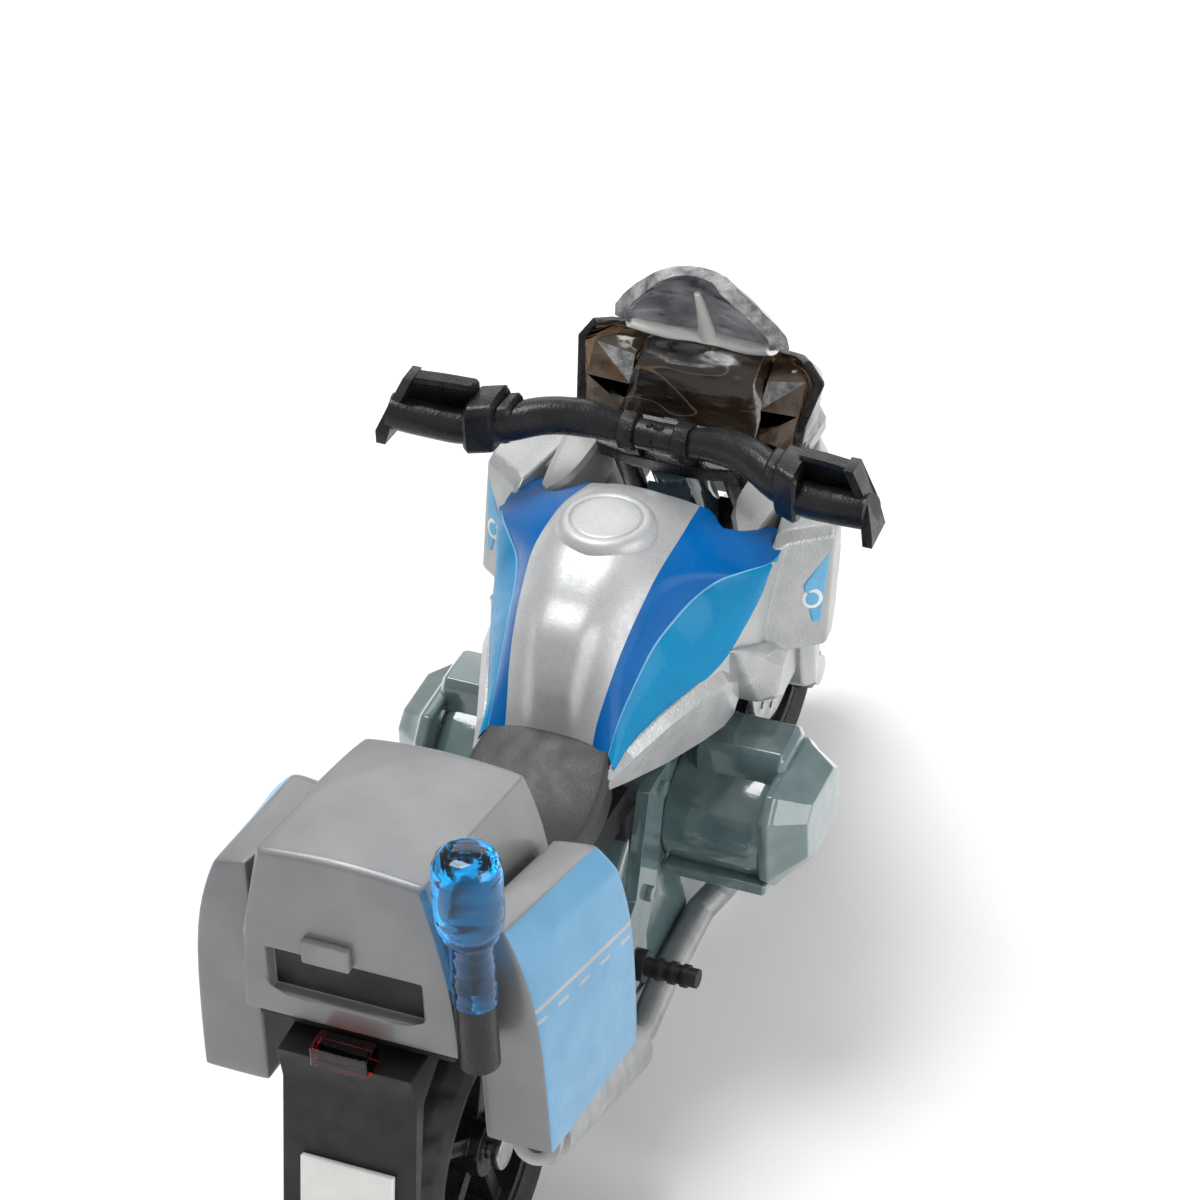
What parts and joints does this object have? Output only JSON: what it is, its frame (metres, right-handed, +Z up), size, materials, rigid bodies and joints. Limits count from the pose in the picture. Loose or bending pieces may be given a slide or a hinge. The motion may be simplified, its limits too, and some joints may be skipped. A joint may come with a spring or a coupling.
{
  "type": "toy police motorcycle",
  "caption": "Die-cast and plastic toy adventure motorcycle in police trim, with radio box, panniers, beacon, steering fork, rolling wheels and a folding side stand.",
  "frame": {"origin": "on the ground under the middle of the bike's length, in its middle plane", "axes": "+X forwards, +Y to the rider's left, +Z up"},
  "size_m": [0.0724, 0.0316, 0.0445],
  "materials": {
    "silver_paint": "fine metallic silver with blue printed side flashes, glossy",
    "silver_plastic": "silver moulded plastic, satin",
    "luggage_plastic": "silver grey moulded plastic with a pale blue printed panel, satin",
    "luggage_trim": "grey moulded plastic",
    "engine_enamel": "grey green gloss enamel",
    "black_plastic": "black moulded plastic, satin",
    "seat_plastic": "dark grey fine-grained plastic",
    "wheel_plastic": "black moulded plastic, satin",
    "tyre_rubber": "black moulded tyre",
    "steel": "turned steel",
    "disc_silver": "silver",
    "exhaust_silver": "silver grey, satin",
    "smoke_plastic": "clear smoke-brown moulded plastic, glossy",
    "clear_plastic": "clear moulded plastic, glossy",
    "blue_lens": "clear blue moulded plastic, glossy",
    "red_lens": "clear red moulded plastic, glossy",
    "plate_white": "plain white, blank"
  },
  "bodies": {
    "body": {"beacon_lens": "blue_lens", "beacon_pole": "black_plastic", "beak": "silver_plastic", "box_latch": "luggage_trim", "cylinder_left": "engine_enamel", "cylinder_right": "engine_enamel", "engine_block": "engine_enamel", "exhaust_pipes": "exhaust_silver", "footpegs": "black_plastic", "frame_plates": "engine_enamel", "frame_screws": "steel", "headlight_housing": "black_plastic", "headlight_lens": "clear_plastic", "instrument_panel": "black_plastic", "intake_left": "silver_plastic", "intake_right": "silver_plastic", "luggage_rack": "black_plastic", "nose_panel": "silver_plastic", "number_plate": "plate_white", "pannier_left": "luggage_plastic", "pannier_right": "luggage_plastic", "radiator_duct_left": "silver_plastic", "radiator_duct_right": "silver_plastic", "radio_box": "luggage_plastic", "rear_axle": "steel", "rear_fender": "black_plastic", "rear_subframe": "black_plastic", "seat": "seat_plastic", "side_cover_left": "silver_plastic", "side_cover_right": "silver_plastic", "silencer": "exhaust_silver", "stand_bracket": "black_plastic", "stand_pin": "steel", "steering_head": "engine_enamel", "sump_guard": "exhaust_silver", "swingarm": "engine_enamel", "tail_light": "red_lens", "tank_shell": "silver_paint", "valve_cover_left": "engine_enamel", "valve_cover_right": "engine_enamel", "windscreen": "smoke_plastic", "wing_left": "silver_plastic", "wing_right": "silver_plastic"},
    "steering": {"handlebar": "black_plastic", "upper_yoke": "black_plastic", "lower_yoke": "black_plastic", "steering_pin": "steel", "fork_stanchions": "black_plastic", "fork_slider_left": "black_plastic", "fork_slider_right": "black_plastic", "front_fender": "silver_plastic", "front_axle": "steel"},
    "front_wheel": {"front_rim": "wheel_plastic", "front_tyre": "tyre_rubber", "front_brake_discs": "disc_silver"},
    "rear_wheel": {"rear_rim": "wheel_plastic", "rear_tyre": "tyre_rubber", "rear_brake_disc": "disc_silver"},
    "side_stand": {"side_stand": "black_plastic"}
  },
  "joints": [
    {"name": "steering_turn", "type": "hinge", "parent": "body", "child": "steering", "pos_m": [0.0262, 0, 0.01], "axis": [-0.4305, 0, 0.9026], "range_deg": [-20, 20]},
    {"name": "front_wheel_spin", "type": "hinge", "parent": "steering", "child": "front_wheel", "pos_m": [0.0262, 0, 0.01], "axis": [0, 1, 0], "continuous": true},
    {"name": "rear_wheel_spin", "type": "hinge", "parent": "body", "child": "rear_wheel", "pos_m": [-0.0216, 0, 0.01], "axis": [0, 1, 0], "continuous": true},
    {"name": "side_stand_fold", "type": "hinge", "parent": "body", "child": "side_stand", "pos_m": [-0.0041, 0.0062, 0.0069], "axis": [0, 1, 0], "range_deg": [0, 85]}
  ]
}
